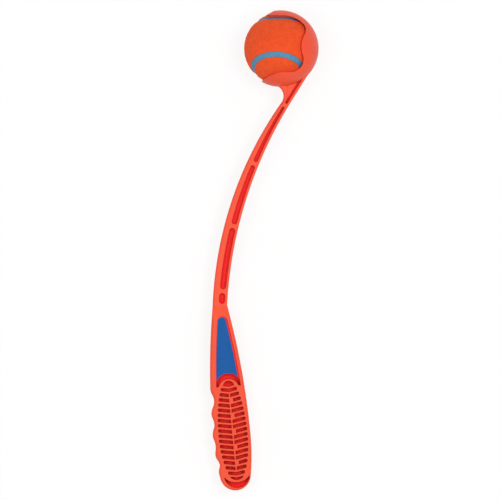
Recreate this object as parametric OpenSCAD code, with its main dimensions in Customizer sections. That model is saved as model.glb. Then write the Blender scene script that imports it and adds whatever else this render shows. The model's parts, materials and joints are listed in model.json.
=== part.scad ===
// Hand-held launcher stick with a tennis ball snapped into its cup.
// It lies on its side, as it rests on a table: X across, Y along the stick, Z up.
// The modules draw in the stick's own plane, with the ball's centre at zero, and lie()
// then leans the whole stick so that the ball and the grip's end both touch the table.

/* [Ball] */
// Diameter over the felt
ball_d = 67; // [60:0.5:72]
// Thickness of the felt
felt_t = 3; // [2:0.1:4]
// Wall of the hollow rubber core
core_wall = 3.6; // [2.5:0.1:6]
// Width of the rubber seam
seam_w = 5; // [3:0.1:7]
// How far the seam lies below the felt
seam_sink = 0.5; // [0.2:0.1:1.2]
// Half the angle between the two seam lines at a felt panel's waist
waist_angle = 36; // [30:1:41]

/* [Cup] */
// Clearance between the ball and the cup
cup_gap = 0.5; // [0.3:0.1:1.5]
// Wall behind the ball
wall_back = 2.9; // [2:0.1:4.5]
// Wall at the open side
wall_front = 1.5; // [1:0.1:2.5]
// How far the tongue's rim hangs below the top of the ball space
tongue_hang = 2.7; // [2:0.1:6]
// Radius of the rim where the tongue widens into the back of the cup
tongue_rim_r = 27; // [24:0.5:32]
// Where the tongue starts to widen, behind the ball's centre
tongue_rim_x = 3; // [0:0.5:5]
// Bevel of the tongue's tip
tip_bevel = 29; // [15:1:45]
// Angle of the line about which the tongue flexes
flex_angle = 48; // [44:1:60]
// Radius of the rim's corner under the tongue
upper_corner_r = 7.7; // [6:0.1:9]
// Depth of the back of the cup at that corner
upper_depth = 9.5; // [8:0.1:14]
// Radius of the rim's corner over the scoop
lower_corner_r = 12; // [9:0.1:13]
// Depth of the back of the cup at that corner
lower_depth = 11.7; // [9:0.1:14]
// Radius of the bulge in the side rim between the two corners
side_bulge_r = 24; // [18:0.5:40]
// Depth of the scoop
scoop_depth = 12.1; // [9:0.1:15]
// Radius of the scoop's rim, seen from the side
scoop_rim_r = 31; // [26:0.5:40]
// Where the scoop's rim is highest, behind the ball's centre
scoop_rim_x = 5; // [0:0.5:8]

/* [Shaft] */
// Thickness of the shaft
shaft_t = 14; // [11:0.5:17]
// Bend of the front edge
front_r = 358; // [330:1:450]
// Bend of the back edge
back_r = 404; // [370:1:500]
// Width where the shaft meets the cup's neck
shaft_w_top = 7.4; // [7:0.1:11]
// Rounding of the front edges
front_round = 2.5; // [1:0.1:3]
// Rounding of the back edges
back_round = 0.8; // [0.4:0.1:1.2]
// Where the front edge meets the neck, behind the ball's centre
neck_x = 1.7; // [-1:0.1:5]
// The same, below the ball's centre
neck_y = 51; // [48:0.5:56]
// Web left between the pockets of both sides
web_t = 2.4; // [1.5:0.1:5]
// Front band beside the pockets, at the handle
front_band_low = 5.8; // [4.5:0.1:6.5]
// The same, at the neck
front_band_top = 2.8; // [2:0.1:3.5]
// Flange behind the pockets
back_flange = 2.2; // [1.5:0.1:2.8]
// Number of long pockets on each side
pocket_count = 3; // [1:1:5]
// Bridge between two pockets
pocket_bridge = 3.6; // [2:0.1:8]
// Length of the short pocket next to the handle
end_pocket_l = 12; // [8:0.5:20]
// Width of the slot in the neck
neck_slot_w = 2.6; // [1.5:0.1:3]
// Depth of the recess in the neck
neck_recess = 1.5; // [0.5:0.1:3]
// How far the neck's edges run into the cup
neck_bite = 0.4; // [0.2:0.1:1]

/* [Handle] */
// From the ball's centre to the handle's widest part, along the stick
reach = 370; // [320:1:460]
// The same, across the stick
set_back = 45.2; // [35:0.1:55]
// Lean of the handle
handle_lean = 5.25; // [3:0.25:7]
// Width at the widest part
handle_w = 35.7; // [33:0.1:40]
// Thickness
handle_t = 21; // [18:0.5:26]
// From the widest part to the shaft
handle_up = 126; // [122:1:134]
// From the widest part to the end
handle_down = 49.6; // [48:0.1:56]
// Bend of the long sides
side_r = 734; // [690:1:800]
// Bend of the shoulders near the end
shoulder_r = 208; // [170:1:260]
// Rounding of the edges
handle_round = 3; // [1:0.1:3.5]
// Length of the slope down to the shaft
slope_l = 10; // [6:0.5:14]
// Places of the four finger grooves, up from the widest part
groove_at = [37.4, 15.2, -6.1, -24.5]; // [-30:0.1:45]
// Their depths
groove_depth = [3.2, 2.2, 1.6, 2.5]; // [1:0.1:4]
// Their radii
groove_r = [14.7, 14.3, 20, 8.6]; // [6:0.1:24]
// Radii of the five crests beside the grooves
crest_r = [10, 10, 10, 10, 6.5]; // [4:0.1:12]

/* [Grip sides] */
// Band left in front of the recess
grip_band = 5.8; // [5:0.1:6.5]
// Band left behind the recess
grip_flange = 3; // [2:0.1:4]
// Depth of the recess that holds the label
recess_depth = 1; // [0.5:0.1:2]
// Start of the recess's round tip, up from the widest part
recess_top = 112; // [100:1:116]
// Thickness of the label
label_t = 0.3; // [0.1:0.05:0.45]
// Gap round the label
label_gap = 0.3; // [0.1:0.1:0.6]
// Strip of recess left open behind the label
label_strip = 1.6; // [0.5:0.1:3]
// Radius of the arch over the rib pad
arch_r = 12.1; // [11.5:0.1:13]
// Height of the arch's centre
arch_y = 50; // [49:0.5:51]
// Radius of the rib pad's upper end
pad_end_r = 10; // [9:0.1:10.5]
// Height of that end's centre
pad_end_y = 47; // [46:0.5:48]
// Half the width of the rib pad
pad_half_w = 14; // [12:0.1:14.3]
// Reach of the slots up the pad
pad_up = 55.5; // [54:0.5:58]
// Reach of the slots down the pad
pad_down = 41; // [40:0.1:42]
// Rim left round the first and last slot
pad_rim = 1.8; // [1:0.1:2.5]
// Number of slots down the pad
row_count = 19; // [10:1:19]
// Height of the first slot
first_row = 51.3; // [50.5:0.1:51.5]
// Spacing of the slots
row_pitch = 4.99; // [4.6:0.01:5]
// Width of a slot
slot_w = 2.6; // [1.5:0.1:3]
// Rise of each half of a slot
slot_rise = 10; // [0:0.5:14]
// Spine between the halves of a slot
spine_w = 1.2; // [0.8:0.1:3]
// The wider spine behind it, on every third slot
wide_spine_w = 3.6; // [3:0.1:6]
// Radius of the first slot's round edge
first_moon_r = 5.5; // [5:0.1:6]
// Radius of the last slot's round edge
last_moon_r = 8; // [6:0.1:9]
// Radius of the crescent at the end
crescent_r = 12.2; // [11:0.1:12.4]
// Radius of its inner edge
crescent_in_r = 16; // [15:0.1:18]
// Height of the crescent at its middle
crescent_h = 5.6; // [4:0.1:6]

/* [Hidden] */
$fn = 96;
// Fragments of the long, flat arcs
long_arc = 720;
// Overshoot of a cut past the surface
over = 1;
// Size of a cut that reaches past everything
far = 600;
// Arcs that touch keep this small step, so that no edge runs out to nothing
step = 0.02;

function unit(v) = v / norm(v);
function turned(v, a) = [v[0] * cos(a) - v[1] * sin(a), v[0] * sin(a) + v[1] * cos(a)];
// Point at distance a from p and b from q, on the right of the way from p to q
function meet(p, a, q, b) =
    let (d = norm(q - p), u = (q - p) / d, s = (a * a - b * b + d * d) / (2 * d), h = sqrt(a * a - s * s))
    p + s * u + h * [u[1], -u[0]];

// How the ball happens to lie in the cup
ball_turn = 27;
ball_roll = 8;
// Lean of the felt's poles, which puts them in the seam's cones and clear of the panel
pole_lean = 16;
// Ball: the seam is four flat arcs of the sphere, each the rim of a cone from its centre
ball_r = ball_d / 2;
core_r = ball_r - felt_t;
seam_lean = atan(1 / (sqrt(2) * cos(waist_angle)) - tan(waist_angle));
seam_cone = acos(cos(seam_lean) / sqrt(2));
seam_half = seam_w / ball_d * 180 / PI;

// Cup: its outside is set back a little, so the wall thins towards the open side
cavity_r = ball_r + cup_gap;
cup_r = cavity_r + (wall_back + wall_front) / 2;
cup_x = (wall_back - wall_front) / 2;
tongue_y = cavity_r - tongue_hang;
tongue_tip_x = -sqrt(cavity_r * cavity_r - tongue_y * tongue_y);
rim_at = [tongue_rim_x, tongue_y - tongue_rim_r];
upper_x = cavity_r - upper_depth - upper_corner_r;
upper_y = rim_at[1] + sqrt(pow(tongue_rim_r - upper_corner_r, 2) - pow(upper_x - tongue_rim_x, 2));
upper_at = [upper_x, upper_y];
scoop_y = scoop_depth - cavity_r;
lower_at = [cavity_r - lower_depth - lower_corner_r, scoop_y + lower_corner_r];
// The bulge touches both corners; seen down the rim from the upper one it is on the left
bulge_at = meet(lower_at, lower_corner_r + side_bulge_r, upper_at, upper_corner_r + side_bulge_r);
bulge_up = bulge_at + side_bulge_r * unit(upper_at - bulge_at);
bulge_down = bulge_at + side_bulge_r * unit(lower_at - bulge_at);

// Handle, in its own axes: Y runs up its axis from the widest part
handle_at = [-set_back, -reach];
function on_stick(p) = handle_at + turned(p, handle_lean);
side_c = side_r - handle_w / 2;
shoulder_c = shoulder_r - handle_w / 2;
function half_w(y) = y > 0 ? sqrt(side_r * side_r - y * y) - side_c : sqrt(shoulder_r * shoulder_r - y * y) - shoulder_c;
// The round end touches both shoulders from inside
end_gap = shoulder_r - handle_down;
end_y = (shoulder_c * shoulder_c - end_gap * end_gap) / (2 * end_gap);
end_r = handle_down - end_y;
// Middle of the recess and of the rib pad, between their unequal bands
grip_x = (grip_band - grip_flange) / 2;
grip_depth = (handle_t - web_t) / 2;
slope_angle = atan((handle_t - shaft_t) / 2 / slope_l);

// Shaft: each edge is one arc from the handle to the neck
low_half = half_w(handle_up);
front_low = on_stick([-low_half, handle_up]);
back_low = on_stick([low_half, handle_up]);
front_top = [neck_x, -neck_y];
front_at = meet(front_low, front_r, front_top, front_r);
across = unit(front_at - front_top);
back_top = front_top + shaft_w_top * across;
back_at = meet(back_low, back_r, back_top, back_r);
band_low = on_stick([front_band_low - low_half, handle_up]);
band_top = front_top + front_band_top * across;
band_r = (front_r + back_r) / 2;
band_at = meet(band_low, band_r, band_top, band_r);
shaft_depth = (shaft_t - web_t) / 2;
// Fillet under the cup, tangent to the shaft's front edge and to the cup's section at the neck's faces
cup_at = [cup_x, 0];
neck_r = sqrt(cup_r * cup_r - shaft_t * shaft_t / 4) - neck_bite;
from_cup = front_top - cup_at;
neck_fillet = (from_cup * from_cup - neck_r * neck_r) / (2 * (neck_r + from_cup * across));
fillet_at = front_top - neck_fillet * across;
// The neck's back edge runs straight from the shaft until it touches the same section
neck_turn = acos(neck_r / norm(back_top - cup_at));
cup_meet = cup_at + neck_r * turned(unit(back_top - cup_at), neck_turn);
neck_angle = atan2(cup_meet[1] - back_top[1], cup_meet[0] - back_top[0]);

// Pockets lie between two angles about the centre of the back edge
flange_r = back_r + back_flange;
function about_back(p) = let (v = p - back_at, a = atan2(v[1], v[0])) a < 0 ? a + 360 : a;
function arc_angle(l) = l / flange_r * 180 / PI;
function pocket_w(a) =
    let (v = band_at - back_at, s = v * [cos(a), sin(a)])
    s + sqrt(s * s - v * v + band_r * band_r) - flange_r;
top_angle = about_back(back_top);
low_angle = about_back(back_low);
short_from = low_angle - arc_angle(end_pocket_l + pocket_bridge / 2);
long_span = (short_from - top_angle) / pocket_count;
half_bridge = arc_angle(pocket_bridge / 2);

// Rest: the ball and the rounded lower edge of the handle's end both touch the table
end_low = end_r - handle_round - on_stick([0, -end_y])[1];
edge_z = handle_t / 2 - handle_round;
tilt = asin((ball_r - handle_round) / norm([end_low, edge_z])) - atan2(edge_z, end_low);
// Box of the resting stick, which puts the origin under its middle
box_right = cup_x + cup_r;
box_left = on_stick([side_c, 0])[0] - side_r;
box_top = cup_r;
box_bottom = -end_low * cos(tilt) - edge_z * sin(tilt) - handle_round;

module lie() {
    translate([-(box_left + box_right) / 2, -(box_top + box_bottom) / 2, ball_r])
        rotate([tilt, 0, 0])
            children();
}

module at_handle() {
    translate(handle_at)
        rotate(handle_lean)
            children();
}

// Round plate of radius r with a rounded rim
module rounded_plate(r, t, e) {
    rotate_extrude($fn = long_arc)
        difference() {
            translate([0, -t / 2])
                square([r, t]);
            translate([r, 0])
                edge_profile(t, e, over);
        }
}

// Section of a cut that leaves a plate of thickness t with rounded edges at x = 0
module edge_profile(t, e, reach) {
    difference() {
        translate([-e, -t / 2 - over])
            square([e + reach, t + 2 * over]);
        translate([-2 * e, -t / 2 + e])
            square([2 * e, t - 2 * e]);
        for (z = [-1, 1])
            translate([-e, z * (t / 2 - e)])
                circle(e, $fn = 48);
    }
}

// Round cut of radius r through a plate
module rounded_hole(r, t, e, fragments) {
    rotate_extrude($fn = fragments)
        intersection() {
            translate([r, 0])
                mirror([1, 0])
                    edge_profile(t, e, r + over);
            translate([0, -t])
                square([2 * r, 2 * t]);
        }
}

// The same cut from both sides of a plate of thickness t
module both_sides(t, deep) {
    for (z = [0, 1])
        mirror([0, 0, z])
            translate([0, 0, t / 2 - deep])
                linear_extrude(deep + over)
                    children();
}

// The half plane above a line through p that runs at angle a, as far as it is needed
module above(p, a, reach = far / 2) {
    translate(p)
        rotate(a)
            translate([-reach, 0])
                square(2 * reach);
}

// Handle

// Lens of the handle's thickness, bounded by two arcs of radius r
module handle_lens(r) {
    intersection() {
        translate([handle_w / 2 - r, 0, 0])
            rounded_plate(r, handle_t, handle_round);
        translate([r - handle_w / 2, 0, 0])
            rounded_plate(r, handle_t, handle_round);
    }
}

// Wedge below the end's centre, whose sides pass through the points where end and shoulders touch
module end_wedge() {
    translate([0, -end_y, -handle_t])
        linear_extrude(2 * handle_t)
            polygon([[0, 0], 2 * [-shoulder_c, -end_y], 2 * [shoulder_c, -end_y]]);
}

module handle_body() {
    intersection() {
        handle_lens(side_r);
        translate([-handle_w, 0, -handle_t])
            cube([2 * handle_w, handle_up, 2 * handle_t]);
    }
    difference() {
        intersection() {
            handle_lens(shoulder_r);
            translate([-handle_w, -2 * end_y, -handle_t])
                cube([2 * handle_w, 2 * end_y, 2 * handle_t]);
        }
        end_wedge();
    }
    intersection() {
        translate([0, -end_y, 0])
            rounded_plate(end_r - step, handle_t, handle_round);
        end_wedge();
    }
}

// The handle thins down to the shaft's thickness at its upper end
module handle_slope() {
    for (z = [0, 1])
        mirror([0, 0, z])
            translate([0, handle_up, shaft_t / 2])
                rotate([-slope_angle, 0, 0])
                    translate([-handle_w, -handle_w, 0])
                        cube([2 * handle_w, 2 * handle_w, handle_t]);
}

function groove_c(i) = [groove_depth[i] - groove_r[i] - half_w(groove_at[i]), groove_at[i]];
last_groove = len(groove_at) - 1;

// A crest touches the grooves above and below it, and the outer two touch the handle's own sides
function crest_c(i) =
    i == 0 ? meet([side_c, 0], side_r - crest_r[i], groove_c(0), groove_r[0] + crest_r[i])
    : i > last_groove ? meet(groove_c(last_groove), groove_r[last_groove] + crest_r[i], [shoulder_c, 0], shoulder_r - crest_r[i])
    : meet(groove_c(i), groove_r[i] + crest_r[i], groove_c(i - 1), groove_r[i - 1] + crest_r[i]);
function crest_upper(i) = i == 0 ? crest_c(0) + 2 * crest_r[0] * unit(crest_c(0) - [side_c, 0]) : groove_c(i - 1);
function crest_lower(i) =
    i > last_groove ? crest_c(i) + 2 * crest_r[i] * unit(crest_c(i) - [shoulder_c, 0]) : groove_c(i);

// Wedge from a crest's centre, whose sides pass through the points where the crest touches
module crest_wedge(i) {
    translate([0, 0, -handle_t])
        linear_extrude(2 * handle_t)
            polygon([crest_c(i), crest_upper(i), crest_lower(i)]);
}

// Wavy front of the grip: a groove for each finger and a round crest to each side of it
module finger_grip() {
    difference() {
        handle_body();
        for (i = [0 : last_groove])
            translate(groove_c(i))
                rounded_hole(groove_r[i], handle_t, handle_round, 96);
        for (i = [0 : last_groove + 1])
            crest_wedge(i);
    }
    for (i = [0 : last_groove + 1])
        intersection() {
            crest_wedge(i);
            translate(crest_c(i))
                rounded_plate(crest_r[i] - step, handle_t, handle_round);
        }
}

// Outline that keeps a band in front and a flange behind
module inside_bands(front, back) {
    intersection() {
        translate([side_c, 0])
            circle(side_r - front, $fn = long_arc);
        translate([-side_c, 0])
            circle(side_r - back, $fn = long_arc);
    }
}

// Leaf-shaped field from the arch up to a round tip
module recess_plan(front, back, arch) {
    tip_r = half_w(recess_top) - (front + back) / 2;
    difference() {
        union() {
            intersection() {
                inside_bands(front, back);
                translate([-handle_w, arch_y])
                    square([2 * handle_w, recess_top - arch_y]);
            }
            translate([(front - back) / 2, recess_top])
                circle(tip_r);
        }
        translate([grip_x, arch_y])
            circle(arch);
    }
}

// Deep channel that curves over the rib pad's upper end
module arch_plan() {
    difference() {
        intersection() {
            translate([grip_x, arch_y])
                circle(arch_r);
            inside_bands(grip_band, grip_flange);
            above([0, arch_y], 0);
        }
        translate([grip_x, pad_end_y])
            circle(pad_end_r);
    }
}

// The slots end on an oval that is longer upwards than downwards
function row_half(y) = pad_half_w * sqrt(1 - pow(y / (y > 0 ? pad_up : pad_down), 2));
function row_y(i) = first_row - i * row_pitch;

// Half a slot from the spine outwards, with a round outer end
module half_slot(from, to) {
    r = slot_w / 2;
    end = (to - r) * [1, tan(slot_rise)];
    side = r * [-sin(slot_rise), cos(slot_rise)];
    start = from * [1, tan(slot_rise)];
    drop = [0, r / cos(slot_rise)];
    polygon([start - drop, end - side, end + side, start + drop]);
    translate(end)
        circle(r - step, $fn = 32);
}

// The shape of the field below a slot
module below_row(y) {
    drop = 2 * handle_w;
    rise = pad_half_w * tan(slot_rise);
    polygon([[0, y], [pad_half_w, y + rise], [pad_half_w, y - drop], [-pad_half_w, y - drop], [-pad_half_w, y + rise]]);
}

module rib_plan() {
    last = row_count - 1;
    translate([grip_x, 0]) {
        for (i = [1 : last - 1]) {
            divided = i > 1 && i < last - 1;
            front_start = divided ? spine_w / 2 : 0;
            back_start = divided && i % 3 == 0 ? wide_spine_w - spine_w / 2 : front_start;
            translate([0, row_y(i)]) {
                half_slot(back_start, row_half(row_y(i)));
                mirror([1, 0])
                    half_slot(front_start, row_half(row_y(i)));
            }
        }
        difference() {
            translate([0, pad_end_y + pad_end_r - pad_rim - first_moon_r])
                circle(first_moon_r);
            below_row(first_row - slot_w / 2);
        }
        intersection() {
            translate([0, last_moon_r + pad_rim - pad_down])
                circle(last_moon_r);
            below_row(row_y(last) + slot_w / 2);
        }
    }
}

// Deep crescent inside the handle's round end
module crescent_plan() {
    difference() {
        translate([grip_x, -end_y])
            circle(crescent_r);
        translate([grip_x, crescent_h + crescent_in_r - crescent_r - end_y])
            circle(crescent_in_r);
    }
}

module grip_handle() {
    color([0.98, 0.37, 0.28])
        lie()
            at_handle()
                difference() {
                    finger_grip();
                    handle_slope();
                    both_sides(handle_t, recess_depth)
                        recess_plan(grip_band, grip_flange, arch_r);
                    both_sides(handle_t, grip_depth) {
                        arch_plan();
                        rib_plan();
                        crescent_plan();
                    }
                }
}

module grip_label() {
    color([0.02, 0.36, 0.65])
        lie()
            at_handle()
                translate([0, 0, handle_t / 2 - recess_depth])
                    linear_extrude(label_t)
                        recess_plan(grip_band + label_gap, grip_flange + label_strip, arch_r + label_gap);
}

// Shaft

module sector(from, to) {
    translate(back_at)
        polygon([[0, 0], far * [cos(from), sin(from)], far * [cos(to), sin(to)]]);
}

// Pocket with round ends between two angles
module pocket_plan(from, to) {
    from_r = pocket_w(from) / 2;
    to_r = pocket_w(to) / 2;
    intersection() {
        difference() {
            translate(band_at)
                circle(band_r, $fn = long_arc);
            translate(back_at)
                circle(flange_r, $fn = long_arc);
        }
        sector(from + arc_angle(from_r), to - arc_angle(to_r));
    }
    translate(back_at) {
        rotate(from + arc_angle(from_r))
            translate([flange_r + from_r, 0])
                circle(from_r - step, $fn = 48);
        rotate(to - arc_angle(to_r))
            translate([flange_r + to_r, 0])
                circle(to_r - step, $fn = 48);
    }
}

module throwing_shaft() {
    color([0.98, 0.4, 0.3])
        lie()
            difference() {
                translate(front_at)
                    rounded_plate(front_r, shaft_t, front_round);
                translate(back_at)
                    rounded_hole(back_r, shaft_t, back_round, long_arc);
                translate([0, 0, -shaft_t])
                    linear_extrude(2 * shaft_t) {
                        above(front_top, atan2(across[1], across[0]));
                        above(on_stick([0, handle_up]), handle_lean + 180, 2 * front_r);
                    }
                both_sides(shaft_t, shaft_depth) {
                    for (i = [0 : pocket_count - 1])
                        pocket_plan(top_angle + i * long_span + half_bridge,
                                    top_angle + (i + 1) * long_span - half_bridge);
                    pocket_plan(short_from + half_bridge, low_angle - half_bridge);
                }
            }
}

// Cup

// Opening of the cup, seen from the side: everything that the shell doesn't cover
module cup_opening() {
    difference() {
        union() {
            translate([-far, scoop_y - far / 2])
                square([far + tongue_rim_x, tongue_y - scoop_y + far / 2]);
            intersection() {
                translate(rim_at)
                    circle(tongue_rim_r, $fn = 180);
                polygon([rim_at, [tongue_rim_x, far], rim_at + far * unit(upper_at - rim_at)]);
            }
            translate(upper_at)
                circle(upper_corner_r);
            translate(lower_at)
                circle(lower_corner_r);
            difference() {
                polygon([[tongue_rim_x, tongue_y], rim_at, upper_at, bulge_up, bulge_down, lower_at,
                         [lower_at[0], scoop_y], [tongue_rim_x, scoop_y]]);
                translate(bulge_at)
                    circle(side_bulge_r);
            }
        }
        translate([scoop_rim_x, scoop_y - scoop_rim_r])
            circle(scoop_rim_r, $fn = 180);
    }
}

module cup_outside() {
    translate([cup_x, 0, 0])
        sphere(cup_r, $fn = 180);
}

// Shell round the ball, thinner towards the open side and bevelled at the tongue's tip
module cup_shell() {
    difference() {
        cup_outside();
        sphere(cavity_r, $fn = 180);
        translate([0, 0, -ball_d])
            linear_extrude(2 * ball_d) {
                cup_opening();
                intersection() {
                    above([tongue_tip_x, tongue_y], tip_bevel);
                    translate([tongue_tip_x - far, tongue_y])
                        square(far + cup_r / 2);
                }
            }
    }
}

// Everything on the tongue's side of the line about which it flexes
module tongue_side() {
    rotate(flex_angle)
        translate([-far / 2, 0, -ball_d])
            cube([far, far / 2, 2 * ball_d]);
}

// Axes along the neck's back edge: X towards the cup, Y into the neck
module at_neck() {
    translate(back_top)
        rotate(neck_angle)
            children();
}

// Shallow field in the neck
module neck_field() {
    intersection() {
        translate([neck_x + 2 * front_round, -neck_y - cup_r])
            square([cup_r, neck_y + cup_r]);
        at_neck()
            translate([-cup_r, back_flange])
                square([3 * cup_r, cup_r]);
    }
}

// Slot that carries the line of the shaft's pockets on towards the cup
module neck_slot() {
    r = neck_slot_w / 2;
    at_neck()
        translate([pocket_bridge / 2 + r, back_flange]) {
            square([cup_r, neck_slot_w]);
            translate([0, r])
                circle(r - step, $fn = 48);
        }
}

// Gusset between the shaft and the outside of the cup
module neck_plate() {
    difference() {
        translate([0, 0, -shaft_t / 2])
            linear_extrude(shaft_t)
                polygon([fillet_at, front_top + cup_r * across, 2 * cup_meet - cup_at, cup_at]);
        translate(fillet_at)
            rounded_hole(neck_fillet, shaft_t, front_round, 96);
        at_neck()
            rotate([90, 0, -90])
                linear_extrude(4 * cup_r, center = true)
                    edge_profile(shaft_t + 2 * step, back_round, cup_r);
        cup_outside();
        both_sides(shaft_t, neck_recess)
            neck_field();
        both_sides(shaft_t, shaft_depth)
            neck_slot();
    }
}

module cup_neck() {
    color([0.96, 0.38, 0.29])
        lie()
            neck_plate();
}

module ball_cup() {
    color([0.95, 0.36, 0.27])
        lie()
            difference() {
                cup_shell();
                tongue_side();
            }
}

module cup_tongue() {
    color([0.9, 0.3, 0.22])
        lie()
            intersection() {
                cup_shell();
                tongue_side();
            }
}

// Ball

module at_ball() {
    lie()
        rotate([0, -ball_roll, 0])
            rotate([-ball_turn, 0, 0])
                children();
}

// Upper half of a hollow sphere; turn says where the poles of its surfaces lie
module half_shell(outer, inner, turn = [0, 0, 0]) {
    difference() {
        rotate(turn)
            sphere(outer, $fn = 180);
        rotate(turn)
            sphere(inner, $fn = 180);
        translate([-ball_d, -ball_d, -2 * ball_d])
            cube(2 * ball_d);
    }
}

// Two cones from the ball's centre, to both sides
module seam_cones(angle) {
    for (s = [-1, 1])
        rotate([s * (90 - seam_lean), 0, 0])
            cylinder(h = ball_d, r1 = 0, r2 = ball_d * tan(angle), $fn = 180);
}

// Swaps the halves of the ball and turns them by a quarter, which maps the seam onto itself
module other_half() {
    rotate(180, [1, 1, 0])
        children();
}

// Felt panel with a waist over the top and two lobes round the bottom
module felt_panel() {
    difference() {
        half_shell(ball_r, core_r, [180, 90 - pole_lean, 90]);
        seam_cones(seam_cone + seam_half);
    }
    other_half()
        intersection() {
            half_shell(ball_r, core_r, [0, pole_lean - 90, 0]);
            seam_cones(seam_cone - seam_half);
        }
}

module felt_panel_front() {
    color([0.96, 0.33, 0.16])
        at_ball()
            felt_panel();
}

module felt_panel_back() {
    color([0.93, 0.3, 0.14])
        at_ball()
            other_half()
                felt_panel();
}

module half_seam() {
    difference() {
        intersection() {
            half_shell(ball_r - seam_sink, core_r);
            seam_cones(seam_cone + seam_half);
        }
        seam_cones(seam_cone - seam_half);
    }
}

module ball_seam() {
    color([0.3, 0.55, 0.69])
        at_ball() {
            half_seam();
            other_half()
                half_seam();
        }
}

module ball_core_upper() {
    color([0.2, 0.2, 0.22])
        at_ball()
            half_shell(core_r, core_r - core_wall);
}

module ball_core_lower() {
    color([0.26, 0.26, 0.28])
        at_ball()
            other_half()
                half_shell(core_r, core_r - core_wall);
}

grip_handle();
throwing_shaft();
cup_neck();
ball_cup();
cup_tongue();
grip_label();
ball_core_upper();
ball_core_lower();
felt_panel_front();
felt_panel_back();
ball_seam();
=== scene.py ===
"""Dresses the ball launcher stick: moulded plastic, a bare label film and a felt ball with a rubber seam."""
import json
import math

import bmesh
import bpy
import numpy as np
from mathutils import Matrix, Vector
from mathutils.bvhtree import BVHTree


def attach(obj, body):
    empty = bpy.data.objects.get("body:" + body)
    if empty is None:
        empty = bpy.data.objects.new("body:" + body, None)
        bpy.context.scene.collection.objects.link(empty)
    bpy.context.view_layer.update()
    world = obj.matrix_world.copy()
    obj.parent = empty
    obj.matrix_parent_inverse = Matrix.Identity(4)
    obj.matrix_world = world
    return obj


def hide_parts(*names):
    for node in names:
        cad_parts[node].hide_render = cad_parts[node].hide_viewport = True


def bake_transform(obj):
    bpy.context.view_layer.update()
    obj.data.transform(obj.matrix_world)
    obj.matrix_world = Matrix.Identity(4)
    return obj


bl_info = {
    "name": "Ball Launcher Stick",
    "version": (1, 0, 0),
    "blender": (4, 5, 0),
    "location": "View3D > Sidebar > Launcher",
    "description": "Surfaces and finishes of a hand-held ball launcher with its felt ball",
    "category": "Object",
}

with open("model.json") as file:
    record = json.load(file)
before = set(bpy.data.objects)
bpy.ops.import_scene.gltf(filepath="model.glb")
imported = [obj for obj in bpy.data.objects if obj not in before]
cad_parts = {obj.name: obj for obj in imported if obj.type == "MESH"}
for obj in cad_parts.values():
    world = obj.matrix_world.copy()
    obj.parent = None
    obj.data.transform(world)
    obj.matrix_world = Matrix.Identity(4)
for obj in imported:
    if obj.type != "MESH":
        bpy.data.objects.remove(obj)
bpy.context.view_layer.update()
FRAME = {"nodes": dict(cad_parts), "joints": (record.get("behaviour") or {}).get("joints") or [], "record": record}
MM = 0.001
# The stick leans, so that the ball and the end of the grip both touch the table
TILT = math.asin(FRAME["joints"][0]["axis"][1])
BALL_CENTRE = np.array(next(m["pos_m"] for m in FRAME["record"]["mounts"] if m["name"] == "ball_seat"))
# Nodes that are one plastic moulding
MOULDING = ("grip_handle", "throwing_shaft", "cup_neck", "ball_cup", "cup_tongue")
# Faces parallel to the stick's plane are pocket floors where they lie inside these thicknesses, and take a
# painted shade there. On the neck only the deep channel counts, and not the shallow recess round it
GRIP_T = 21 * MM
SHAFT_T = 14 * MM
NECK_CHANNEL_T = 10.4 * MM
# Largest size of a slot between the ribs, across the stick and along it
SLOT_BOX = (26 * MM, 8 * MM)
# Points closer than this are one point, and edges shorter than this are dropped
MERGE = 2e-6
SLIVER = 1e-7
# Keeps a divisor above zero
TINY = 1e-20


def length(name, description, default, low, high):
    """Length in metres."""
    return bpy.props.FloatProperty(
        name=name, description=description, default=default, min=low, max=high, unit="LENGTH")


def angle(name, description, default, low, high):
    """Angle, given in degrees and kept in radians."""
    return bpy.props.FloatProperty(
        name=name, description=description, default=math.radians(default), min=math.radians(low),
        max=math.radians(high), subtype="ANGLE")


def colour(name, description, default):
    """Colour as sRGB values."""
    return bpy.props.FloatVectorProperty(
        name=name, description=description, default=default, min=0.0, max=1.0, subtype="COLOR_GAMMA")


class LauncherSizes(bpy.types.PropertyGroup):
    """Sizes of the dressed pieces."""

    slot_extra: length("Slot extra", "Added width of the slots between the grip's ribs", 0.0007, 0.0, 0.0012)
    ball_d: length("Ball", "Diameter over the felt", 0.067, 0.06, 0.072)
    felt_t: length("Felt", "Thickness of the felt", 0.003, 0.002, 0.004)
    felt_edge: length("Felt edge", "Rounding of the felt beside the seam", 0.0011, 0.0003, 0.002)
    felt_nap: length("Nap", "Unevenness of the felt", 0.00011, 0.0, 0.0004)
    fibre_l: length("Fibre", "Length of a loose felt fibre", 0.0012, 0.0002, 0.003)
    fibre_count: bpy.props.IntProperty(
        name="Fibres", description="Loose fibres on each felt panel", default=5000, min=0, max=12000)
    seam_w: length("Seam", "Width of the rubber seam", 0.005, 0.003, 0.007)
    seam_sink: length("Seam sink", "How far the seam lies below the felt", 0.0005, 0.0002, 0.0012)
    waist: angle("Waist", "Half the angle across a felt panel's waist", 36, 30, 41)
    ball_turn: angle("Ball turn", "Turn of the ball about the table's X", -27, -180, 180)
    ball_roll: angle("Ball roll", "Roll of the ball about the stick", -8, -180, 180)


class LauncherColours(bpy.types.PropertyGroup):
    """Colours of the finishes."""

    plastic: colour("Plastic", "Raised faces of the moulding", (0.945, 0.33, 0.21))
    # Painted shade: a deep red that stands for the shade and red inter-reflection deep in the pockets and slots
    pocket: colour("Pocket", "Floors of the pockets and slots", (0.92, 0.06, 0.035))
    felt: colour("Felt", "Felt of the ball", (0.965, 0.345, 0.16))
    seam: colour("Seam", "Rubber seam", (0.3, 0.54, 0.67))
    label: colour("Label", "Bare label film", (0.0, 0.335, 0.62))
    core: colour("Core", "Rubber core of the ball", (0.17, 0.17, 0.18))


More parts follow.
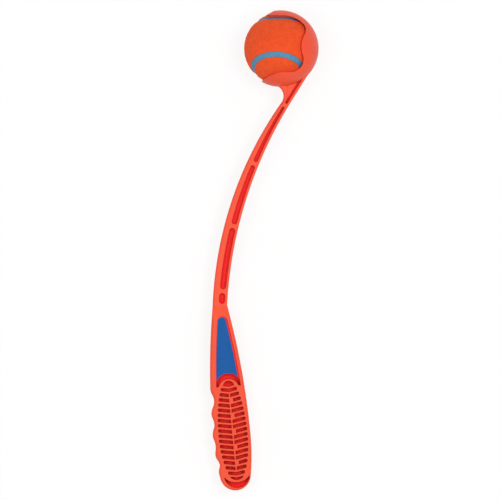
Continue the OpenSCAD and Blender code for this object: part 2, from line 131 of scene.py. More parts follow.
def linear(srgb, gain=1.0):
    """sRGB colour as linear RGBA: ((c + 0.055) / 1.055) ** 2.4 above 0.04045, and c / 12.92 below."""
    c = np.array(srgb[:3], float)
    lin = np.where(c > 0.04045, ((c + 0.055) / 1.055) ** 2.4, c / 12.92)
    return (*np.clip(lin * gain, 0.0, 1.0), 1.0)


def turn_x(turn):
    """Rotation matrix about X."""
    c, s = math.cos(turn), math.sin(turn)
    return np.array([[1, 0, 0], [0, c, -s], [0, s, c]])


def turn_y(turn):
    """Rotation matrix about Y."""
    c, s = math.cos(turn), math.sin(turn)
    return np.array([[c, 0, s], [0, 1, 0], [-s, 0, c]])


def tube_quads(rows, cols):
    """Quads of a grid of rows x cols points whose last column joins its first."""
    i = np.arange(rows - 1)[:, None] * cols
    j = np.arange(cols)[None, :]
    k = (j + 1) % cols
    return np.stack([i + j, i + k, i + cols + k, i + cols + j], axis=-1).reshape(-1, 4)


def mesh_from(name, points, faces, merge=MERGE):
    """Mesh from arrays of points and of quads or triangles, with its doubles merged and its faces turned
    outwards. Edges that bend by more than a limit stay sharp."""
    sharp = math.radians(50)
    mesh = bpy.data.meshes.new(name)
    sides = faces.shape[1]
    mesh.vertices.add(len(points))
    mesh.vertices.foreach_set("co", np.asarray(points, np.float32).ravel())
    mesh.loops.add(faces.size)
    mesh.loops.foreach_set("vertex_index", np.asarray(faces, np.int32).ravel())
    mesh.polygons.add(len(faces))
    mesh.polygons.foreach_set("loop_start", np.arange(0, faces.size, sides, dtype=np.int32))
    mesh.update(calc_edges=True)
    bm = bmesh.new()
    bm.from_mesh(mesh)
    bmesh.ops.remove_doubles(bm, verts=bm.verts, dist=merge)
    bmesh.ops.dissolve_degenerate(bm, edges=bm.edges, dist=SLIVER)
    bmesh.ops.recalc_face_normals(bm, faces=bm.faces)
    bm.to_mesh(mesh)
    bm.free()
    mesh.shade_smooth()
    mesh.set_sharp_from_angle(angle=sharp)
    return mesh


def piece(name, mesh, material, slot, body, *nodes):
    """Object at the origin that rides on a body, takes a material and hides the CAD nodes it stands for. The slot
    is not used.
    """
    obj = bpy.data.objects.new(name, mesh)
    bpy.context.scene.collection.objects.link(obj)
    mesh.materials.clear()
    mesh.materials.append(material)
    if body:
        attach(obj, body)
    if nodes:
        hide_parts(*nodes)
    return obj


class Finish:
    """A procedural material with short calls for its nodes."""

    def __init__(self, name):
        self.material = bpy.data.materials.get(name) or bpy.data.materials.new(name)
        self.material.use_nodes = True
        self.tree = self.material.node_tree
        self.tree.nodes.clear()
        self.shader = self.node("ShaderNodeBsdfPrincipled")
        self.output = self.node("ShaderNodeOutputMaterial")
        self.link(self.shader.outputs["BSDF"], self.output.inputs["Surface"])
        self.coords = self.node("ShaderNodeTexCoord").outputs["Object"]

    def node(self, kind, **settings):
        """New node with the given settings."""
        made = self.tree.nodes.new(kind)
        for key, value in settings.items():
            setattr(made, key, value)
        return made

    def link(self, a, b):
        """Joins an output to an input."""
        self.tree.links.new(a, b)

    def set(self, **values):
        """Sets the shader's own sockets, whose names have spaces for underscores."""
        for key, value in values.items():
            self.shader.inputs[key.replace("_", " ")].default_value = value

    def noise(self, scale, detail=3.0, roughness=0.55, vector=None):
        """Fractal noise on the piece's own coordinates, or on the given vector."""
        made = self.node("ShaderNodeTexNoise")
        self.link(vector or self.coords, made.inputs["Vector"])
        made.inputs["Scale"].default_value = scale
        made.inputs["Detail"].default_value = detail
        made.inputs["Roughness"].default_value = roughness
        return made.outputs["Fac"]

    def ramp(self, value, low, high, to_low=0.0, to_high=1.0):
        """Maps low..high to to_low..to_high, clamped."""
        made = self.node("ShaderNodeMapRange")
        self.link(value, made.inputs["Value"])
        for key, number in zip(("From Min", "From Max", "To Min", "To Max"), (low, high, to_low, to_high)):
            made.inputs[key].default_value = number
        return made.outputs["Result"]

    def mix(self, factor, a, b, blend="MIX"):
        """Mixes two colours, each a tuple or an output."""
        made = self.node("ShaderNodeMix", data_type="RGBA", blend_type=blend)
        if isinstance(factor, float):
            made.inputs["Factor"].default_value = factor
        else:
            self.link(factor, made.inputs["Factor"])
        for key, value in (("A", a), ("B", b)):
            socket = next(s for s in made.inputs if s.name == key and s.type == "RGBA")
            if isinstance(value, tuple):
                socket.default_value = value
            else:
                self.link(value, socket)
        return next(s for s in made.outputs if s.type == "RGBA")

    def bump(self, height, distance, strength=1.0, normal=None):
        """Normal tilted by the slope of a height."""
        made = self.node("ShaderNodeBump")
        made.inputs["Distance"].default_value = distance
        made.inputs["Strength"].default_value = strength
        self.link(height, made.inputs["Height"])
        if normal:
            self.link(normal, made.inputs["Normal"])
        return made.outputs["Normal"]

    def maths(self, operation, a, b=None):
        """One piece of arithmetic on numbers or outputs."""
        made = self.node("ShaderNodeMath", operation=operation)
        for socket, value in zip(made.inputs, (a, b)):
            if isinstance(value, float):
                socket.default_value = value
            elif value is not None:
                self.link(value, socket)
        return made.outputs["Value"]


def moulded_plastic():
    """Satin polypropylene: slow tone changes, fine mould grain, softened and slightly rubbed edges, and a painted
    shade of deep red on the pocket floors. Edges are not softened where two nodes of the moulding join."""
    colours = bpy.context.scene.launcher_colours
    f = Finish("moulded_plastic")
    slow = f.noise(38.0, 4.0)
    tone = f.mix(f.ramp(slow, 0.3, 0.7), linear(colours.plastic, 0.94), linear(colours.plastic, 1.04))
    # Painted shade: the marked pocket floors are painted deep red in place of their shade
    pocket = f.node("ShaderNodeAttribute", attribute_name="pocket").outputs["Fac"]
    tone = f.mix(pocket, tone, linear(colours.pocket))
    bevel = f.node("ShaderNodeBevel", samples=6)
    bevel.inputs["Radius"].default_value = 0.45 * MM
    surface = f.node("ShaderNodeNewGeometry").outputs
    choice = f.node("ShaderNodeMix", data_type="VECTOR")
    f.link(f.node("ShaderNodeAttribute", attribute_name="joined").outputs["Fac"], choice.inputs["Factor"])
    for key, normal in (("A", bevel.outputs["Normal"]), ("B", surface["Normal"])):
        f.link(normal, next(i for i in choice.inputs if i.name == key and i.type == "VECTOR"))
    soft = next(o for o in choice.outputs if o.type == "VECTOR")
    along = f.node("ShaderNodeVectorMath", operation="DOT_PRODUCT")
    f.link(soft, along.inputs[0])
    f.link(surface["True Normal"], along.inputs[1])
    edge = f.ramp(along.outputs["Value"], 0.98, 0.75)
    worn = f.maths("MULTIPLY", edge, f.ramp(f.noise(420.0, 5.0), 0.35, 0.65))
    paler = linear([c + 0.2 * (1 - c) for c in colours.plastic])
    tone = f.mix(f.maths("MULTIPLY", worn, 0.3), tone, paler)
    f.link(tone, f.shader.inputs["Base Color"])
    grain = f.noise(2600.0, 2.0)
    f.link(f.bump(grain, 0.02 * MM, 0.35, soft), f.shader.inputs["Normal"])
    f.link(f.ramp(f.noise(160.0, 4.0), 0.3, 0.7, 0.4, 0.52), f.shader.inputs["Roughness"])
    f.set(Subsurface_Weight=0.12, Subsurface_Scale=2.0 * MM, Specular_IOR_Level=0.2)
    f.shader.inputs["Subsurface Radius"].default_value = (1.0, 0.28, 0.18)
    f.material.diffuse_color = linear(colours.plastic)
    return f.material


def ball_felt():
    """Needled wool felt: matted fibres at two scales, a soft sheen and cloudy dye."""
    colours = bpy.context.scene.launcher_colours
    f = Finish("ball_felt")
    cloud = f.noise(140.0, 4.0)
    tone = f.mix(f.ramp(cloud, 0.3, 0.7), linear(colours.felt, 0.9), linear(colours.felt, 1.06))
    squeeze = f.node("ShaderNodeMapping")
    squeeze.inputs["Scale"].default_value = (1.0, 0.35, 1.0)
    f.link(f.coords, squeeze.inputs["Vector"])
    fibres = f.noise(2100.0, 6.0, 0.7, squeeze.outputs["Vector"])
    tone = f.mix(f.ramp(fibres, 0.36, 0.64), f.mix(1.0, tone, (0.8, 0.72, 0.7, 1.0), "MULTIPLY"), tone)
    f.link(tone, f.shader.inputs["Base Color"])
    matted = f.maths("ADD", fibres, f.noise(700.0, 3.0))
    f.link(f.bump(matted, 0.25 * MM, 0.55), f.shader.inputs["Normal"])
    f.link(f.ramp(cloud, 0.3, 0.7, 0.88, 0.98), f.shader.inputs["Roughness"])
    f.set(Sheen_Weight=0.35, Sheen_Roughness=0.5, Sheen_Tint=linear([1.0, 0.62, 0.42]))
    f.set(Specular_IOR_Level=0.15)
    f.material.diffuse_color = linear(colours.felt)
    return f.material


def seam_rubber():
    """Matt cement rubber with a pebbled skin and chalky spots."""
    colours = bpy.context.scene.launcher_colours
    f = Finish("seam_rubber")
    chalk = f.noise(330.0, 5.0)
    tone = f.mix(f.ramp(chalk, 0.32, 0.7), linear(colours.seam, 0.86), linear(colours.seam, 1.12))
    f.link(tone, f.shader.inputs["Base Color"])
    f.link(f.bump(f.noise(1500.0, 4.0), 0.08 * MM, 0.5), f.shader.inputs["Normal"])
    f.link(f.ramp(chalk, 0.3, 0.7, 0.6, 0.8), f.shader.inputs["Roughness"])
    f.set(Specular_IOR_Level=0.35)
    f.material.diffuse_color = linear(colours.seam)
    return f.material


def label_film():
    """Glossy film: faint ink mottle, and an orange-peel skin under a clear coat."""
    colours = bpy.context.scene.launcher_colours
    f = Finish("label_film")
    mottle = f.noise(900.0, 5.0)
    tone = f.mix(f.ramp(mottle, 0.3, 0.7), linear(colours.label, 0.9), linear(colours.label, 1.08))
    f.link(tone, f.shader.inputs["Base Color"])
    f.link(f.bump(f.noise(520.0, 2.0), 0.03 * MM, 0.4), f.shader.inputs["Normal"])
    f.link(f.ramp(f.noise(60.0, 3.0), 0.3, 0.7, 0.2, 0.3), f.shader.inputs["Roughness"])
    f.set(Coat_Weight=0.2, Coat_Roughness=0.12, Specular_IOR_Level=0.2)
    f.material.diffuse_color = linear(colours.label)
    return f.material


def core_rubber():
    """Dull black rubber with a sandy skin."""
    colours = bpy.context.scene.launcher_colours
    f = Finish("core_rubber")
    sand = f.noise(500.0, 5.0)
    tone = f.mix(f.ramp(sand, 0.3, 0.7), linear(colours.core, 0.8), linear(colours.core, 1.25))
    f.link(tone, f.shader.inputs["Base Color"])
    f.link(f.bump(sand, 0.1 * MM, 0.5), f.shader.inputs["Normal"])
    f.link(f.ramp(sand, 0.3, 0.7, 0.7, 0.9), f.shader.inputs["Roughness"])
    return f.material


def moulded_copy(node, flat_t=None, centre=None, slot_extra=0.0):
    """Merged copy of a CAD node's mesh with even normals. Where flat_t is given, faces that are parallel to
    the stick's plane and lie inside that thickness are marked as pocket floors for the painted shade. Points
    that lie on another node of the moulding are marked as joined. Slots are made wider by slot_extra."""
    parallel = 0.985
    margin = 0.4 * MM
    mesh = FRAME["nodes"][node].data.copy()
    bm = bmesh.new()
    bm.from_mesh(mesh)
    bmesh.ops.remove_doubles(bm, verts=bm.verts, dist=MERGE)
    bmesh.ops.dissolve_degenerate(bm, edges=bm.edges, dist=SLIVER)
    if slot_extra:
        widen_slots(bm, slot_extra)
    bm.to_mesh(mesh)
    patch = flat_patches(bm)
    bm.free()
    count = len(mesh.polygons)
    middle = np.empty(count * 3, np.float32)
    normal = np.empty(count * 3, np.float32)
    mesh.polygons.foreach_get("center", middle)
    mesh.polygons.foreach_get("normal", normal)
    back = turn_x(-TILT)
    height = np.abs((middle.reshape(-1, 3) - BALL_CENTRE) @ back.T)[:, 2]
    facing = np.abs(normal.reshape(-1, 3) @ back.T)[:, 2]
    below = flat_t / 2 - margin if flat_t else 0.0
    # Marks the pocket floors that take the painted shade
    floor = ((facing > parallel) & (height < below)).astype(np.float32)
    mesh.attributes.new("pocket", "FLOAT", "FACE").data.foreach_set("value", floor)
    mesh.attributes.new("joined", "FLOAT", "POINT").data.foreach_set("value", joined_points(mesh, node))
    even_normals(mesh, patch, centre)
    return mesh


def widen_slots(bm, extra):
    """Steps the long walls of the slots between the ribs back by half of extra each, and their round ends by
    the share of the wall's normal that points along the stick. A slot is a ring of upright faces that fits
    in SLOT_BOX."""
    level = 0.05
    full_step = 0.7
    bm.normal_update()
    bm.faces.index_update()
    upright = turn_x(TILT) @ np.array([0.0, 0.0, 1.0])
    along = turn_x(TILT) @ np.array([0.0, 1.0, 0.0])
    walls = [f for f in bm.faces if abs(np.dot(f.normal, upright)) < level]
    left = {f.index for f in walls}
    for first in walls:
        if first.index not in left:
            continue
        left.discard(first.index)
        ring = [first]
        lean = {}
        for face in ring:
            area = face.calc_area()
            for v in face.verts:
                lean.setdefault(v, []).append((np.dot(face.normal, along) * area, area))
                for other in v.link_faces:
                    if other.index in left:
                        left.discard(other.index)
                        ring.append(other)
        place = np.array([v.co for v in lean])
        if np.all(np.ptp(place[:, :2], axis=0) < SLOT_BOX):
            for v, parts in lean.items():
                share = sum(n for n, area in parts) / max(sum(area for n, area in parts), TINY)
                v.co -= Vector(along * extra / 2 * np.clip(share / full_step, -1, 1))


def joined_points(mesh, node):
    """1 for each point of a node's mesh that lies on another node of the moulding, else 0."""
    trees = []
    for other in MOULDING:
        if other != node:
            data = FRAME["nodes"][other].data
            corners = [p.vertices for p in data.polygons]
            trees.append(BVHTree.FromPolygons([v.co for v in data.vertices], corners))
    near = 0.05 * MM
    return [float(any(t.find_nearest(v.co, near)[0] is not None for t in trees)) for v in mesh.vertices]


def flat_patches(bm):
    """Area of the flat patch that each face belongs to: faces joined over edges that bend by under half a
    degree."""
    limit = math.radians(0.5)
    area = np.zeros(len(bm.faces))
    seen = np.zeros(len(bm.faces), bool)
    for first in bm.faces:
        if seen[first.index]:
            continue
        seen[first.index] = True
        patch = [first]
        for face in patch:
            for edge in face.edges:
                if len(edge.link_faces) == 2 and edge.calc_face_angle() < limit:
                    for other in edge.link_faces:
                        if not seen[other.index]:
                            seen[other.index] = True
                            patch.append(other)
        area[[f.index for f in patch]] = sum(f.calc_area() for f in patch)
    return area


def even_normals(mesh, patch, centre):
    """Sets each corner's normal to the mean of the face normals at its point that lie within 28 degrees of
    its own face's, weighed by the area of the flat patch each belongs to, so that flats stay flat beside
    their roundings. Where a centre is given, a normal within 7 degrees of the line to it is put on it."""
    same_side = math.cos(math.radians(28))
    near_line = math.cos(math.radians(7))
    count = len(mesh.loops)
    corner = np.empty(count, np.int32)
    mesh.loops.foreach_get("vertex_index", corner)
    face = np.repeat(np.arange(len(mesh.polygons)), [p.loop_total for p in mesh.polygons])
    normal = np.empty(len(mesh.polygons) * 3)
    mesh.polygons.foreach_get("normal", normal)
    normal = normal.reshape(-1, 3)
    order = np.argsort(corner, kind="stable")
    valence = np.bincount(corner, minlength=len(mesh.vertices))
    start = np.concatenate([[0], np.cumsum(valence)[:-1]])
    total = np.zeros((count, 3))
    for step in range(valence.max()):
        has = valence[corner] > step
        other = face[order[np.minimum(start[corner] + step, count - 1)]]
        close = (normal[face] * normal[other]).sum(1) > same_side
        total += normal[other] * (patch[other] * (has & close))[:, None]
    total /= np.maximum(np.linalg.norm(total, axis=1), TINY)[:, None]
    if centre is not None:
        points = np.empty(len(mesh.vertices) * 3, np.float32)
        mesh.vertices.foreach_get("co", points)
        line = points.reshape(-1, 3)[corner] - centre
        line /= np.linalg.norm(line, axis=1)[:, None]
        share = (line * total).sum(1)
        on_line = np.abs(share) > near_line
        total = np.where(on_line[:, None], line * np.sign(share)[:, None], total)
    mesh.shade_smooth()
    mesh.normals_split_custom_set(total.tolist())


def seam_angles(sizes):
    """The seam is four arcs, each the rim of a cone from the ball's centre. Returns the lean of the cones'
    axes out of the halving plane, atan(1 / (sqrt(2) cos w) - tan w) with w half the waist's angle, their
    half angle, acos(cos lean / sqrt(2)), and the half width of the seam as an angle."""
    w = sizes.waist
    lean = math.atan(1 / (math.sqrt(2) * math.cos(w)) - math.tan(w))
    return lean, math.acos(math.cos(lean) / math.sqrt(2)), sizes.seam_w / sizes.ball_d


def ball_turned(sizes):
    """Rotation from the ball's own axes to the table's."""
    return turn_x(TILT) @ turn_y(sizes.ball_roll) @ turn_x(sizes.ball_turn)


def other_half(points):
    """Half turn about the diagonal of X and Y, which maps the seam onto itself: (x, y, z) to (y, x, -z)."""
    return points[..., [1, 0, 2]] * np.array([1.0, 1.0, -1.0])


def placed(sizes, points, swap):
    """Points of one half of the ball in the table's axes. What would reach below the table is pressed onto
    it."""
    if swap:
        points = other_half(points)
    points = points @ ball_turned(sizes).T + BALL_CENTRE
    return np.concatenate([points[..., :2], np.maximum(points[..., 2:], 0.0)], axis=-1)


def panel_direction(sizes, along, across):
    """Unit directions of a felt panel. along is the longitude on the panel's middle line, as a share from
    -1 to 1 of its end, and across is the latitude as a share of the panel's half width there. Up to a
    quarter turn the panel ends at the cone over the waist,
    atan2(a, b) - acos(cos(cone + half) / hypot(a, b)) with a = sin pole and b = cos pole cos longitude.
    Beyond it the panel ends at the lobe's own cone, acos(cos(cone - half) / cos(longitude - lobe))."""
    lean, cone, half = seam_angles(sizes)
    lobe = math.pi / 2 + lean
    pole = math.pi / 2 - lean
    lon = along * (lobe + cone - half)
    a = math.sin(pole)
    b = math.cos(pole) * np.cos(lon)
    waist = np.arctan2(a, b) - np.arccos(np.clip(math.cos(cone + half) / np.hypot(a, b), -1, 1))
    off_lobe = np.maximum(np.cos(np.abs(lon) - lobe), TINY)
    cap = np.arccos(np.clip(math.cos(cone - half) / off_lobe, -1, 1))
    lat = across * np.where(np.abs(lon) < math.pi / 2, waist, cap)
    return np.stack([np.sin(lon) * np.cos(lat), np.sin(lat), np.cos(lon) * np.cos(lat)], axis=-1)


def edge_distance(sizes, d):
    """Angle from a direction to the nearest edge of its felt panel."""
    lean, cone, half = seam_angles(sizes)
    c, s = math.cos(lean), math.sin(lean)
    over = np.arccos(np.clip(np.abs(d[..., 1]) * c + d[..., 2] * s, -1, 1)) - cone - half
    under = cone - half - np.arccos(np.clip(np.abs(d[..., 0]) * c - d[..., 2] * s, -1, 1))
    return np.maximum(np.where(d[..., 2] >= 0, over, under), 0)


def nap(points, seed, height):
    """Uneven felt: a sum of seeded sine waves, 0.9 to 3.5 mm long, in random directions."""
    rng = np.random.default_rng(seed)
    waves = 48
    direction = rng.normal(size=(waves, 3))
    direction /= np.linalg.norm(direction, axis=1)[:, None]
    turns = 2 * math.pi / rng.uniform(0.9 * MM, 3.5 * MM, waves)
    phase = rng.uniform(0, 2 * math.pi, waves)
    total = np.sin(points.reshape(-1, 3) @ (direction * turns[:, None]).T + phase).sum(1)
    return height * total.reshape(points.shape[:-1]) / math.sqrt(waves / 2)


def felt_panel(sizes, seed, swap):
    """Felt panel: its upper face follows the ball, with a quarter round of the felt's edge radius towards
    the seam. Walls then run down to the core, and a lower face closes it."""
    rows, cols, walls, under = 361, 121, 5, 31
    r = sizes.ball_d / 2
    along = np.sin(np.linspace(-1, 1, rows) * math.pi / 2)
    top = np.linspace(-1, 1, cols)
    bottom = np.linspace(1, -1, under)
    share = np.concatenate([top, np.full(walls, 1.0), bottom, np.full(walls, -1.0)])
    d = panel_direction(sizes, along[:, None], share[None, :])
    far = edge_distance(sizes, d[:, :cols]) * r
    e = sizes.felt_edge
    inside = np.clip(e - far, 0, e)
    crown = r - e + np.sqrt(e * e - inside * inside)
    crown = crown + nap(d[:, :cols] * r, seed, sizes.felt_nap) * np.clip(far / e, 0, 1)
    low = r - sizes.felt_t
    down = np.linspace(r - e, low, walls + 2)[1:-1]
    radius = np.concatenate([
        crown,
        np.broadcast_to(down, (rows, walls)),
        np.full((rows, under), low),
        np.broadcast_to(down[::-1], (rows, walls))], axis=1)
    points = d * radius[..., None]
    return placed(sizes, points, swap).reshape(-1, 3), tube_quads(rows, points.shape[1])


def felt_fibres(sizes, seed, swap):
    """Loose fibres: three-sided spikes that leave the felt at a low angle and curl. A ring at share k of the
    reach stands at base + reach (k side + rise k outwards + curl k k flank), and the last is a point. Roots
    follow the fall of the felt's edge in part."""
    root = 0.12 * MM
    follow = 0.6
    girth = 0.045 * MM
    rng = np.random.default_rng(seed)
    count = sizes.fibre_count
    r = sizes.ball_d / 2
    along = np.arcsin(rng.uniform(-0.98, 0.98, count)) * 2 / math.pi
    d = panel_direction(sizes, along, rng.uniform(-0.96, 0.96, count))
    side = np.cross(d, rng.normal(size=(count, 3)))
    side /= np.linalg.norm(side, axis=1)[:, None]
    flank = np.cross(d, side)
    reach = sizes.fibre_l * rng.uniform(0.5, 1.3, count)[:, None]
    rise = rng.uniform(0.1, 0.38, count)[:, None]
    curl = rng.uniform(-0.5, 0.5, count)[:, None]
    depth = np.clip(edge_distance(sizes, d) * r, 0, sizes.felt_edge)[:, None] - sizes.felt_edge
    base = d * (r - root - np.abs(depth) * follow)
    rings = []
    for k, width in ((0.0, 1.0), (0.55, 0.8)):
        middle = base + reach * (k * side + rise * k * d + curl * k * k * flank)
        for a in (0.0, math.tau / 3, math.tau * 2 / 3):
            rings.append(middle + girth * width * (math.cos(a) * flank + math.sin(a) * d))
    rings.append(base + reach * (side + rise * d + curl * flank))
    points = placed(sizes, np.stack(rings, axis=1), swap)
    one = np.array([[0, 1, 4], [0, 4, 3], [1, 2, 5], [1, 5, 4], [2, 0, 3], [2, 3, 5],
                    [3, 4, 6], [4, 5, 6], [5, 3, 6], [0, 2, 1]])
    faces = (np.arange(count)[:, None, None] * len(rings) + one[None]).reshape(-1, 3)
    return points.reshape(-1, 3), faces


def seam_arc(sizes, sign, swap):
    """One arc of the seam: directions cos f axis + sin f (cos a up + sin a X) round a cone's axis, with f
    across the seam and a along it, up to the halving plane where cos a = -tan lean / tan f. The top is
    crowned: it falls by crown times the sixth power of the share of the half width."""
    lean, cone, half = seam_angles(sizes)
    rows, cols, walls, under = 121, 19, 3, 9
    top = np.linspace(-1, 1, cols)
    bottom = np.linspace(1, -1, under)
    f = cone + half * np.concatenate([top, np.full(walls, 1.0), bottom, np.full(walls, -1.0)])
    reach = np.arccos(np.clip(-math.tan(lean) / np.tan(f), -1, 1))
    a = np.linspace(-1, 1, rows)[:, None] * reach[None, :]
    axis = np.array([0.0, sign * math.cos(lean), math.sin(lean)])
    up = np.array([0.0, -sign * math.sin(lean), math.cos(lean)])
    across = np.array([1.0, 0.0, 0.0])
    round_axis = np.cos(a)[..., None] * up + np.sin(a)[..., None] * across
    d = np.cos(f)[None, :, None] * axis + np.sin(f)[None, :, None] * round_axis
    r = sizes.ball_d / 2 - sizes.seam_sink
    low = sizes.ball_d / 2 - sizes.felt_t
    crown = 0.25 * MM
    down = np.linspace(r - crown, low, walls + 2)[1:-1]
    radius = np.concatenate([r - crown * top ** 6, down, np.full(under, low), down[::-1]])
    points = d * radius[None, :, None]
    return placed(sizes, points, swap).reshape(-1, 3), tube_quads(rows, points.shape[1])


class LAUNCHER_OT_stage(bpy.types.Operator):
    """Pale table, soft light and the camera above the stick"""

    bl_idname = "launcher.stage"
    bl_label = "Stage"

    def execute(self, context):
        scene = context.scene
        scene.view_settings.view_transform = "Standard"
        floor_mesh = bpy.data.meshes.new("table_top")
        # The table top is a little below zero, clear of the faces that rest there
        half = 6.0
        z = -0.3 * MM
        corners = [(-half, -half, z), (half, -half, z), (half, half, z), (-half, half, z)]
        floor_mesh.from_pydata(corners, [], [(0, 1, 2, 3)])
        floor = bpy.data.objects.new("table_top", floor_mesh)
        scene.collection.objects.link(floor)
        f = Finish("pale_table")
        paper = f.noise(30.0, 4.0)
        tone = f.mix(f.ramp(paper, 0.3, 0.7), (0.93, 0.93, 0.93, 1.0), (0.96, 0.96, 0.96, 1.0))
        f.link(tone, f.shader.inputs["Base Color"])
        f.set(Roughness=0.9, Specular_IOR_Level=0.0)
        self.paper_white(f)
        floor_mesh.materials.append(f.material)
        world = bpy.data.worlds.new("soft_room")
        scene.world = world
        world.use_nodes = True
        back = world.node_tree.nodes["Background"]
        back.inputs["Color"].default_value = (1.0, 1.0, 1.0, 1.0)
        back.inputs["Strength"].default_value = 0.5
        self.lamp("key_softbox", place=(0.6, 0.2, 1.8), size=0.6, power=14.0)
        self.lamp("fill_softbox", place=(-0.6, 0.0, 1.8), size=0.6, power=9.0)
        lens = bpy.data.cameras.new("photo_camera")
        lens.lens = 300.0
        lens.sensor_width = 36.0
        camera = bpy.data.objects.new("photo_camera", lens)
        scene.collection.objects.link(camera)
        # Half the width of the view, at 20 mm above the table
        half_view = 237.5 * MM
        distance = half_view * lens.lens / (lens.sensor_width / 2) + 20 * MM
        camera.location = (-13.5 * MM, 0.8 * MM, distance)
        lens.clip_end = 50.0
        scene.camera = camera
        return {"FINISHED"}

    def paper_white(self, f):
        """Seen directly or in a reflection the table is mostly white, with a faint shadow kept."""
        whiteness = 0.84
        seen = f.node("ShaderNodeLightPath").outputs
        rays = f.maths("ADD", seen["Is Camera Ray"], seen["Is Glossy Ray"])
        rays = f.maths("ADD", rays, seen["Is Transmission Ray"])
        white = f.node("ShaderNodeEmission")
        blend = f.node("ShaderNodeMixShader")
        f.link(f.maths("MULTIPLY", f.maths("MINIMUM", rays, 1.0), whiteness), blend.inputs["Fac"])
        f.link(f.shader.outputs["BSDF"], blend.inputs[1])
        f.link(white.outputs["Emission"], blend.inputs[2])
        f.link(blend.outputs["Shader"], f.output.inputs["Surface"])

    def lamp(self, name, place, size, power):
        """Square softbox aimed at the middle of the table."""
        light = bpy.data.lights.new(name, "AREA")
        light.size = size
        light.energy = power
        obj = bpy.data.objects.new(name, light)
        bpy.context.scene.collection.objects.link(obj)
        obj.location = place
        x, y, z = place
        obj.rotation_euler = (math.atan2(math.hypot(x, y), z), 0.0, math.atan2(x, -y))


class LAUNCHER_OT_moulding(bpy.types.Operator):
    """Grip, shaft, neck and cup of the moulding"""

    bl_idname = "launcher.moulding"
    bl_label = "Moulding"

    def execute(self, context):
        plastic = moulded_plastic()
        extra = context.scene.launcher_sizes.slot_extra
        for node, name, settings in (
                ("grip_handle", "moulded_grip", {"flat_t": GRIP_T, "slot_extra": extra}),
                ("throwing_shaft", "moulded_shaft", {"flat_t": SHAFT_T}),
                ("cup_neck", "moulded_neck", {"flat_t": NECK_CHANNEL_T}),
                ("ball_cup", "moulded_cup", {"centre": BALL_CENTRE})):
            mesh = moulded_copy(node, **settings)
            piece(name, mesh, plastic, "moulded_plastic", "launcher", node)
        return {"FINISHED"}


class LAUNCHER_OT_tongue(bpy.types.Operator):
    """Tongue over the ball, copied as it stands; the real one bends where it grows out of the cup"""

    bl_idname = "launcher.tongue"
    bl_label = "Tongue"

    def execute(self, context):
        mesh = moulded_copy("cup_tongue", centre=BALL_CENTRE)
        obj = piece("moulded_tongue", mesh, moulded_plastic(), "moulded_plastic", None, "cup_tongue")
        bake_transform(obj)
        return {"FINISHED"}


class LAUNCHER_OT_label(bpy.types.Operator):
    """Bare label film in the grip's recess"""

    bl_idname = "launcher.label"
    bl_label = "Label"

    def execute(self, context):
        mesh = moulded_copy("grip_label")
        piece("bare_label", mesh, label_film(), "label_film", "launcher", "grip_label")
        return {"FINISHED"}


class LAUNCHER_OT_felt(bpy.types.Operator):
    """Two felt panels with their loose fibres"""

    bl_idname = "launcher.felt"
    bl_label = "Felt"

    def execute(self, context):
        sizes = context.scene.launcher_sizes
        felt = ball_felt()
        unmerged = 1e-9
        for side, swap, seed in (("front", False, 11), ("back", True, 12)):
            mesh = mesh_from("felt_" + side, *felt_panel(sizes, seed, swap))
            piece("felt_" + side, mesh, felt, "ball_felt", "ball", "felt_panel_" + side)
            fibres = mesh_from("felt_fibres_" + side, *felt_fibres(sizes, seed + 10, swap), merge=unmerged)
            piece("felt_fibres_" + side, fibres, felt, "ball_felt", "ball")
        return {"FINISHED"}


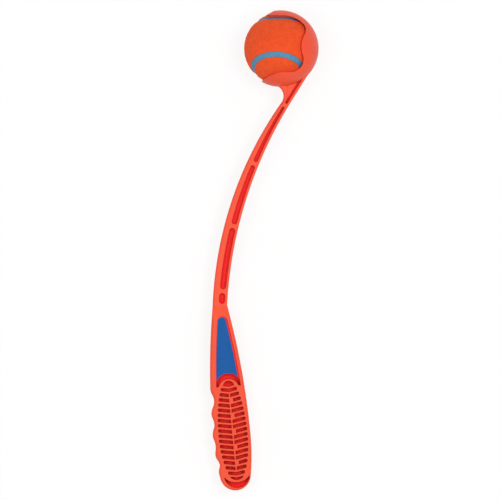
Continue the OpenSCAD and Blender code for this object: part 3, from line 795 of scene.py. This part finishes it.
class LAUNCHER_OT_seam(bpy.types.Operator):
    """Rubber seam between the felt panels"""

    bl_idname = "launcher.seam"
    bl_label = "Seam"

    def execute(self, context):
        sizes = context.scene.launcher_sizes
        arcs = [seam_arc(sizes, sign, swap) for swap in (False, True) for sign in (1, -1)]
        starts = np.cumsum([0] + [len(p) for p, q in arcs])
        points = np.concatenate([p for p, q in arcs])
        faces = np.concatenate([q + start for (p, q), start in zip(arcs, starts)])
        mesh = mesh_from("ball_seam_strip", points, faces, merge=0.02 * MM)
        piece("ball_seam_strip", mesh, seam_rubber(), "seam_rubber", "ball", "ball_seam")
        return {"FINISHED"}


class LAUNCHER_OT_core(bpy.types.Operator):
    """Rubber of the ball's two half shells, inside the felt"""

    bl_idname = "launcher.core"
    bl_label = "Core"

    def execute(self, context):
        rubber = core_rubber()
        for node in ("ball_core_upper", "ball_core_lower"):
            mesh = FRAME["nodes"][node].data
            mesh.materials.clear()
            mesh.materials.append(rubber)
        return {"FINISHED"}


STEPS = ("stage", "moulding", "tongue", "label", "felt", "seam", "core")


class LAUNCHER_PT_panel(bpy.types.Panel):
    """Lists the launcher's sizes, colours and pieces"""

    bl_idname = "LAUNCHER_PT_panel"
    bl_label = "Ball launcher"
    bl_space_type = "VIEW_3D"
    bl_region_type = "UI"
    bl_category = "Launcher"

    def draw(self, context):
        """Every size and colour, then a button for each piece."""
        for group in (context.scene.launcher_sizes, context.scene.launcher_colours):
            for key in group.bl_rna.properties.keys():
                if key not in ("rna_type", "name"):
                    self.layout.prop(group, key)
        for step in STEPS:
            self.layout.operator("launcher." + step)


CLASSES = (
    LauncherSizes, LauncherColours, LAUNCHER_OT_stage, LAUNCHER_OT_moulding, LAUNCHER_OT_tongue,
    LAUNCHER_OT_label, LAUNCHER_OT_felt, LAUNCHER_OT_seam, LAUNCHER_OT_core, LAUNCHER_PT_panel)


def register():
    """Adds the classes and the two groups of settings."""
    for cls in CLASSES:
        bpy.utils.register_class(cls)
    bpy.types.Scene.launcher_sizes = bpy.props.PointerProperty(type=LauncherSizes)
    bpy.types.Scene.launcher_colours = bpy.props.PointerProperty(type=LauncherColours)


def unregister():
    """Takes away what register adds."""
    del bpy.types.Scene.launcher_colours
    del bpy.types.Scene.launcher_sizes
    for cls in reversed(CLASSES):
        bpy.utils.unregister_class(cls)


def main():
    """Registers the add-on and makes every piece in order."""
    register()
    for step in STEPS:
        getattr(bpy.ops.launcher, step)()


if __name__ == "__main__":
    main()
